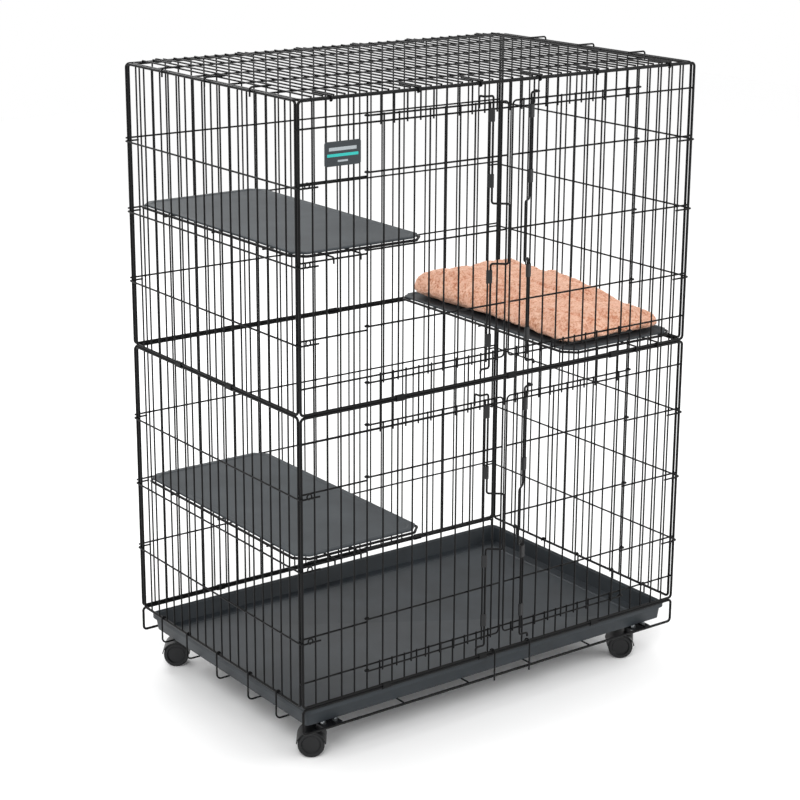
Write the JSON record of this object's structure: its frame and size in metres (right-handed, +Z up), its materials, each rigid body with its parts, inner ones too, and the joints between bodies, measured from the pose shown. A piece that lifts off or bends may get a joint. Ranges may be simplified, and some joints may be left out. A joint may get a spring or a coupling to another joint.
{
  "type": "kennel cage",
  "caption": "Two-storey black wire kennel cage on twin-wheel casters with double doors, hanging shelves, a plush cushion and a slide-out pan.",
  "frame": {"origin": "centre of the bounding box on the floor, under the caster wheels", "axes": "+X along the length, to the right seen from the doors; -Y is the door side; +Z up"},
  "size_m": [0.9108, 0.6237, 1.2241],
  "materials": {
    "coated_wire": "semi-gloss black coating",
    "black_nylon": "moulded, satin",
    "pan_plastic": "grained, satin",
    "shelf_plastic": "matt",
    "plush": "short pile",
    "label": "satin",
    "plated_steel": "zinc plated",
    "black_steel": "satin black"
  },
  "bodies": {
    "cage": {"front_panel_lower": "coated_wire", "front_panel_upper": "coated_wire", "back_panel_lower": "coated_wire", "back_panel_upper": "coated_wire", "left_end_lower": "coated_wire", "left_end_upper": "coated_wire", "right_end_lower": "coated_wire", "right_end_upper": "coated_wire", "top_panel": "coated_wire", "base_loop_front": "coated_wire", "base_loop_back": "coated_wire", "floor_grid": "coated_wire", "seam_rings": "coated_wire", "base_rings": "coated_wire", "label_plate": "label", "caster_bracket_front_left": "black_steel", "caster_bracket_front_right": "black_steel", "caster_bracket_back_left": "black_steel", "caster_bracket_back_right": "black_steel", "caster_bolts": "plated_steel"},
    "door_lower_left": {"door_lower_left": "coated_wire", "latch_clips_lower_left": "black_nylon"},
    "latch_lower_left": {"latch_rod_lower_left": "coated_wire"},
    "door_lower_right": {"door_lower_right": "coated_wire", "latch_clips_lower_right": "black_nylon"},
    "latch_lower_right": {"latch_rod_lower_right": "coated_wire"},
    "door_upper_left": {"door_upper_left": "coated_wire", "latch_clips_upper_left": "black_nylon"},
    "latch_upper_left": {"latch_rod_upper_left": "coated_wire"},
    "door_upper_right": {"door_upper_right": "coated_wire", "latch_clips_upper_right": "black_nylon"},
    "latch_upper_right": {"latch_rod_upper_right": "coated_wire"},
    "pan": {"pan": "pan_plastic"},
    "pan_stop_1": {"pan_stop_1": "coated_wire"},
    "pan_stop_2": {"pan_stop_2": "coated_wire"},
    "shelf_upper_left": {"shelf_frame_upper_left": "coated_wire", "shelf_board_upper_left": "shelf_plastic"},
    "shelf_lower_left": {"shelf_frame_lower_left": "coated_wire", "shelf_board_lower_left": "shelf_plastic"},
    "shelf_middle_right": {"shelf_frame_middle_right": "coated_wire", "shelf_board_middle_right": "shelf_plastic"},
    "cushion": {"cushion": "plush"},
    "caster_front_left": {"caster_hood_front_left": "black_nylon"},
    "wheels_front_left": {"caster_axle_front_left": "plated_steel", "caster_wheels_front_left": "black_nylon"},
    "caster_front_right": {"caster_hood_front_right": "black_nylon"},
    "wheels_front_right": {"caster_axle_front_right": "plated_steel", "caster_wheels_front_right": "black_nylon"},
    "caster_back_left": {"caster_hood_back_left": "black_nylon"},
    "wheels_back_left": {"caster_axle_back_left": "plated_steel", "caster_wheels_back_left": "black_nylon"},
    "caster_back_right": {"caster_hood_back_right": "black_nylon"},
    "wheels_back_right": {"caster_axle_back_right": "plated_steel", "caster_wheels_back_right": "black_nylon"}
  },
  "joints": [
    {"name": "door_lower_left_hinge", "type": "hinge", "parent": "cage", "child": "door_lower_left", "pos_m": [-0.30903, -0.28075, 0.396], "axis": [0, 0, -1], "range_deg": [0, 155]},
    {"name": "latch_lower_left_slide", "type": "slide", "parent": "door_lower_left", "child": "latch_lower_left", "axis": [0, 0, 1], "range_m": [-0.006, 0.008]},
    {"name": "door_lower_right_hinge", "type": "hinge", "parent": "cage", "child": "door_lower_right", "pos_m": [0.30903, -0.28075, 0.396], "axis": [0, 0, 1], "range_deg": [0, 155]},
    {"name": "latch_lower_right_slide", "type": "slide", "parent": "door_lower_right", "child": "latch_lower_right", "axis": [0, 0, 1], "range_m": [-0.006, 0.008]},
    {"name": "door_upper_left_hinge", "type": "hinge", "parent": "cage", "child": "door_upper_left", "pos_m": [-0.30903, -0.28075, 0.9432], "axis": [0, 0, -1], "range_deg": [0, 155]},
    {"name": "latch_upper_left_slide", "type": "slide", "parent": "door_upper_left", "child": "latch_upper_left", "axis": [0, 0, 1], "range_m": [-0.006, 0.008]},
    {"name": "door_upper_right_hinge", "type": "hinge", "parent": "cage", "child": "door_upper_right", "pos_m": [0.30903, -0.28075, 0.9432], "axis": [0, 0, 1], "range_deg": [0, 155]},
    {"name": "latch_upper_right_slide", "type": "slide", "parent": "door_upper_right", "child": "latch_upper_right", "axis": [0, 0, 1], "range_m": [-0.006, 0.008]},
    {"name": "pan_slide", "type": "slide", "parent": "cage", "child": "pan", "axis": [0, 1, 0], "range_m": [-0.008, 0.5]},
    {"name": "pan_stop_1_swing", "type": "hinge", "parent": "cage", "child": "pan_stop_1", "pos_m": [-0.016, -0.28165, 0.1234], "axis": [-1, 0, 0], "range_deg": [0, 95]},
    {"name": "pan_stop_2_swing", "type": "hinge", "parent": "cage", "child": "pan_stop_2", "pos_m": [0.07, -0.28165, 0.1234], "axis": [-1, 0, 0], "range_deg": [0, 95]},
    {"name": "shelf_upper_left_lift", "type": "slide", "parent": "cage", "child": "shelf_upper_left", "axis": [0, 0, 1], "range_m": [0, 0.03]},
    {"name": "shelf_lower_left_lift", "type": "slide", "parent": "cage", "child": "shelf_lower_left", "axis": [0, 0, 1], "range_m": [0, 0.03]},
    {"name": "shelf_middle_right_lift", "type": "slide", "parent": "cage", "child": "shelf_middle_right", "axis": [0, 0, 1], "range_m": [0, 0.025]},
    {"name": "cushion_lift", "type": "slide", "parent": "shelf_middle_right", "child": "cushion", "axis": [0, 0, 1], "range_m": [0, 0.12]},
    {"name": "caster_front_left_swivel", "type": "hinge", "parent": "cage", "child": "caster_front_left", "pos_m": [-0.38, -0.23515, 0.06], "axis": [0, 0, 1], "continuous": true},
    {"name": "wheels_front_left_spin", "type": "hinge", "parent": "caster_front_left", "child": "wheels_front_left", "pos_m": [-0.39456, -0.22457, 0.025], "axis": [0.5878, 0.809, 0], "continuous": true},
    {"name": "caster_front_right_swivel", "type": "hinge", "parent": "cage", "child": "caster_front_right", "pos_m": [0.38, -0.23515, 0.06], "axis": [0, 0, 1], "continuous": true},
    {"name": "wheels_front_right_spin", "type": "hinge", "parent": "caster_front_right", "child": "wheels_front_right", "pos_m": [0.36544, -0.22457, 0.025], "axis": [0.5878, 0.809, 0], "continuous": true},
    {"name": "caster_back_left_swivel", "type": "hinge", "parent": "cage", "child": "caster_back_left", "pos_m": [-0.38, 0.25685, 0.06], "axis": [0, 0, 1], "continuous": true},
    {"name": "wheels_back_left_spin", "type": "hinge", "parent": "caster_back_left", "child": "wheels_back_left", "pos_m": [-0.39456, 0.26743, 0.025], "axis": [0.5878, 0.809, 0], "continuous": true},
    {"name": "caster_back_right_swivel", "type": "hinge", "parent": "cage", "child": "caster_back_right", "pos_m": [0.38, 0.25685, 0.06], "axis": [0, 0, 1], "continuous": true},
    {"name": "wheels_back_right_spin", "type": "hinge", "parent": "caster_back_right", "child": "wheels_back_right", "pos_m": [0.36544, 0.26743, 0.025], "axis": [0.5878, 0.809, 0], "continuous": true}
  ]
}
